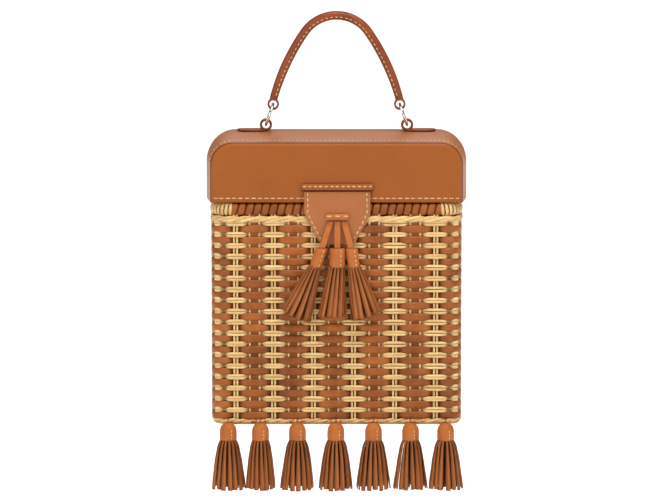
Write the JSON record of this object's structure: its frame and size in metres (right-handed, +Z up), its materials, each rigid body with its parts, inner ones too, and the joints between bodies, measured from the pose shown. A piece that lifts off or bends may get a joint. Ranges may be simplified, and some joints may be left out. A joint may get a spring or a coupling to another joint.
{
  "type": "straw bag",
  "caption": "Woven cane and leather box bag with a hinged leather lid, a ring-hung top handle, a tasselled clasp flap and hanging tassels.",
  "frame": {"origin": "middle of the basket's underside", "axes": "+Z up, the front with the clasp flap faces -Y, +X to the right seen from the front"},
  "size_m": [0.191, 0.1168, 0.3455],
  "materials": {
    "cognac_leather": "smooth",
    "dark_leather": "burnished",
    "straw_cane": "peeled cane",
    "brass": "polished",
    "board": "plain board",
    "lining": "woven",
    "thread": "waxed"
  },
  "bodies": {
    "basket": {"wall_weave": "straw_cane", "top_wale": "straw_cane", "bottom_wale": "straw_cane", "base_border": "straw_cane", "base_board": "board", "basket_lining": "lining", "rim_rod": "straw_cane", "rim_wrap_front": "cognac_leather", "rim_wrap_back": "cognac_leather", "rim_wrap_left": "cognac_leather", "rim_wrap_right": "cognac_leather", "rim_corner_bindings": "straw_cane", "snap_socket": "brass", "tassel_threads": "thread"},
    "lid": {"lid_front": "cognac_leather", "lid_back": "cognac_leather", "lid_gusset": "cognac_leather", "lid_welt_front": "dark_leather", "lid_welt_back": "dark_leather", "lid_former": "board", "lid_lining": "lining", "hinge_loop_left": "dark_leather", "hinge_loop_right": "dark_leather", "handle_tab_left": "dark_leather", "handle_tab_right": "dark_leather", "clasp_keeper": "cognac_leather"},
    "handle": {"handle": "dark_leather"},
    "ring_left": {"ring_left": "brass"},
    "ring_right": {"ring_right": "brass"},
    "clasp_flap": {"clasp_flap": "cognac_leather", "snap_stud": "brass", "charm_keeper": "cognac_leather"},
    "charm_left": {"charm_left_strap": "cognac_leather", "charm_left_band": "cognac_leather", "charm_left_fringe": "cognac_leather"},
    "charm_middle": {"charm_middle_strap": "cognac_leather", "charm_middle_band": "cognac_leather", "charm_middle_fringe": "cognac_leather"},
    "charm_right": {"charm_right_strap": "cognac_leather", "charm_right_band": "cognac_leather", "charm_right_fringe": "cognac_leather"},
    "tassel_1": {"tassel_1_cap": "cognac_leather", "tassel_1_fringe": "cognac_leather"},
    "tassel_2": {"tassel_2_cap": "cognac_leather", "tassel_2_fringe": "cognac_leather"},
    "tassel_3": {"tassel_3_cap": "cognac_leather", "tassel_3_fringe": "cognac_leather"},
    "tassel_4": {"tassel_4_cap": "cognac_leather", "tassel_4_fringe": "cognac_leather"},
    "tassel_5": {"tassel_5_cap": "cognac_leather", "tassel_5_fringe": "cognac_leather"},
    "tassel_6": {"tassel_6_cap": "cognac_leather", "tassel_6_fringe": "cognac_leather"},
    "tassel_7": {"tassel_7_cap": "cognac_leather", "tassel_7_fringe": "cognac_leather"}
  },
  "joints": [
    {"name": "lid_hinge", "type": "hinge", "parent": "basket", "child": "lid", "pos_m": [0, 0.0457, 0.1583], "axis": [-1, 0, 0], "range_deg": [0, 95]},
    {"name": "handle_swing", "type": "hinge", "parent": "lid", "child": "handle", "pos_m": [0, 0, 0.22304], "axis": [1, 0, 0], "range_deg": [-90, 90]},
    {"name": "ring_left_swing", "type": "hinge", "parent": "lid", "child": "ring_left", "pos_m": [0, 0, 0.22304], "axis": [1, 0, 0], "range_deg": [-45, 45]},
    {"name": "ring_right_swing", "type": "hinge", "parent": "lid", "child": "ring_right", "pos_m": [0, 0, 0.22304], "axis": [1, 0, 0], "range_deg": [-45, 45]},
    {"name": "clasp_flap_hinge", "type": "hinge", "parent": "lid", "child": "clasp_flap", "pos_m": [0, -0.0512, 0.1711], "axis": [-1, 0, 0], "range_deg": [0, 60]},
    {"name": "charm_left_swing", "type": "hinge", "parent": "clasp_flap", "child": "charm_left", "pos_m": [0, -0.05305, 0.15025], "axis": [-1, 0, 0], "range_deg": [0, 60]},
    {"name": "charm_middle_swing", "type": "hinge", "parent": "clasp_flap", "child": "charm_middle", "pos_m": [0, -0.05305, 0.15025], "axis": [-1, 0, 0], "range_deg": [0, 60]},
    {"name": "charm_right_swing", "type": "hinge", "parent": "clasp_flap", "child": "charm_right", "pos_m": [0, -0.05305, 0.15025], "axis": [-1, 0, 0], "range_deg": [0, 60]},
    {"name": "tassel_1_swing", "type": "hinge", "parent": "basket", "child": "tassel_1", "pos_m": [0, -0.0548, 0.004], "axis": [-1, 0, 0], "range_deg": [-10, 75]},
    {"name": "tassel_2_swing", "type": "hinge", "parent": "basket", "child": "tassel_2", "pos_m": [0, -0.0548, 0.004], "axis": [-1, 0, 0], "range_deg": [-10, 75]},
    {"name": "tassel_3_swing", "type": "hinge", "parent": "basket", "child": "tassel_3", "pos_m": [0, -0.0548, 0.004], "axis": [-1, 0, 0], "range_deg": [-10, 75]},
    {"name": "tassel_4_swing", "type": "hinge", "parent": "basket", "child": "tassel_4", "pos_m": [0, -0.0548, 0.004], "axis": [-1, 0, 0], "range_deg": [-10, 75]},
    {"name": "tassel_5_swing", "type": "hinge", "parent": "basket", "child": "tassel_5", "pos_m": [0, -0.0548, 0.004], "axis": [-1, 0, 0], "range_deg": [-10, 75]},
    {"name": "tassel_6_swing", "type": "hinge", "parent": "basket", "child": "tassel_6", "pos_m": [0, -0.0548, 0.004], "axis": [-1, 0, 0], "range_deg": [-10, 75]},
    {"name": "tassel_7_swing", "type": "hinge", "parent": "basket", "child": "tassel_7", "pos_m": [0, -0.0548, 0.004], "axis": [-1, 0, 0], "range_deg": [-10, 75]}
  ],
  "couplings": [
    {"joint": "ring_left_swing", "follows": "handle_swing", "ratio": 0.5},
    {"joint": "ring_right_swing", "follows": "handle_swing", "ratio": 0.5}
  ]
}
